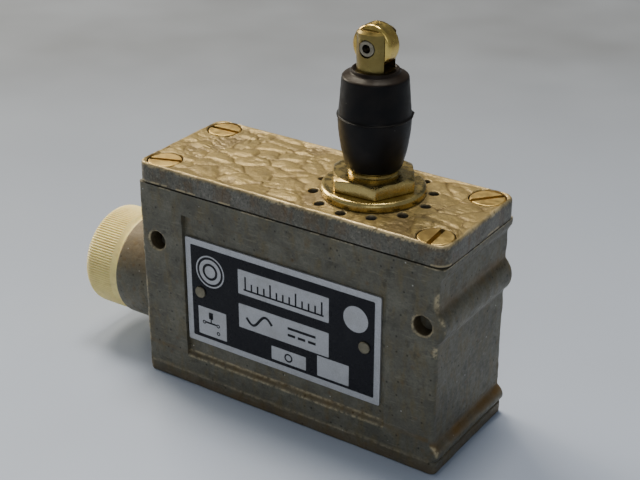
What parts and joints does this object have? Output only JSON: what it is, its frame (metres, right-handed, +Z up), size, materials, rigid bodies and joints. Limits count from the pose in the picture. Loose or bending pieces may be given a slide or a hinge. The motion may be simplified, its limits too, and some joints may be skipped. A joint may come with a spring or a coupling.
{
  "type": "limit switch",
  "caption": "Roller-plunger limit switch: cast housing and cover, rubber-booted plunger with a cross roller, snap contact block, plastic cable gland.",
  "frame": {"origin": "centre of the housing's base face", "axes": "+Z up the plunger's axis to the roller, +X along the housing away from the cable gland, +Y out of the mounting face"},
  "size_m": [0.1021, 0.0308, 0.0916],
  "materials": {
    "cast_body": "rough grey casting under a thin lacquer, stained brown in its corners",
    "cast_cover": "cobbled, hammered casting, worn bright on its high spots and edges",
    "seal_rubber": "dull black rubber",
    "screw_brass": "turned brass, a little dulled",
    "plate": "printed black with a bright border",
    "plate_rivet": "dull aluminium",
    "bush_brass": "turned, yellow, with a satin sheen",
    "plunger_brass": "turned and milled, satin",
    "roller_steel": "turned, polished on the running face",
    "rivet_steel": "bright rolled-over tube",
    "boot_rubber": "moulded black rubber, satin",
    "spring_steel": "drawn spring wire",
    "pin_steel": "ground steel",
    "block_plastic": "brown phenolic moulding",
    "button_plastic": "hard cream plastic",
    "contact_silver": "silver contact rivets",
    "blade_bronze": "rolled phosphor bronze",
    "terminal_brass": "stamped brass",
    "zinc_screw": "zinc-plated steel",
    "liner_board": "pressed insulating board",
    "gland_rubber": "soft black rubber",
    "gland_washer": "zinc-plated steel",
    "cap_plastic": "cream moulded plastic, yellowed"
  },
  "bodies": {
    "root": {"housing": "cast_body", "cover": "cast_cover", "cover_gasket": "seal_rubber", "cover_screws": "screw_brass", "nameplate": "plate", "nameplate_rivets": "plate_rivet", "flange_washer": "bush_brass", "bush_seal": "seal_rubber", "guide_bush": "bush_brass", "bush_locknut": "bush_brass", "boot": "boot_rubber", "return_spring": "spring_steel", "overtravel_spring": "spring_steel", "block_base": "block_plastic", "block_cover": "block_plastic", "block_screws": "zinc_screw", "pivot_pin": "pin_steel", "fixed_contacts": "contact_silver", "common_terminal": "terminal_brass", "nc_terminal": "terminal_brass", "no_terminal": "terminal_brass", "terminal_clamps": "zinc_screw", "terminal_screws": "zinc_screw", "snap_spring": "spring_steel", "insulating_liner": "liner_board", "earth_clamp": "zinc_screw", "earth_screw": "screw_brass", "gland_inner_washer": "gland_washer", "gland_seal": "gland_rubber"},
    "plunger_assembly": {"plunger": "plunger_brass", "roller_pin": "rivet_steel", "retaining_ring": "pin_steel"},
    "roller": {"roller": "roller_steel"},
    "actuator": {"drive_pin": "pin_steel", "switch_button": "button_plastic"},
    "blade": {"contact_blade": "blade_bronze", "moving_contact": "contact_silver"},
    "gland_washer": {"gland_pressure_washer": "gland_washer"},
    "gland_cap": {"gland_cap": "cap_plastic"}
  },
  "joints": [
    {"name": "plunger_slide", "type": "slide", "parent": "root", "child": "plunger_assembly", "axis": [0, 0, -1], "range_m": [0, 0.005], "stiffness_N_per_m": 1500, "springref_m": -0.006, "deforming": ["boot", "return_spring", "overtravel_spring"]},
    {"name": "roller_spin", "type": "hinge", "parent": "plunger_assembly", "child": "roller", "pos_m": [0.0134, 0, 0.087], "axis": [0, 1, 0], "continuous": true},
    {"name": "button_slide", "type": "slide", "parent": "root", "child": "actuator", "axis": [0, 0, -1], "range_m": [0, 0.0015]},
    {"name": "blade_tilt", "type": "hinge", "parent": "root", "child": "blade", "pos_m": [-0.008, 0, 0.022], "axis": [0, 1, 0], "range_deg": [0, 4.05]},
    {"name": "gland_washer_slide", "type": "slide", "parent": "root", "child": "gland_washer", "axis": [-1, 0, 0], "range_m": [0, 0.00425]},
    {"name": "gland_turn", "type": "hinge", "parent": "gland_washer", "child": "gland_cap", "pos_m": [-0.05, 0, 0.0187], "axis": [-1, 0, 0], "range_deg": [0, 1080]}
  ],
  "couplings": [
    {"joint": "button_slide", "follows": "plunger_slide", "ratio": 0.3},
    {"joint": "blade_tilt", "follows": "plunger_slide", "rad_per_m": 13.963},
    {"joint": "gland_washer_slide", "follows": "gland_turn", "m_per_rad": 0.00022441}
  ]
}
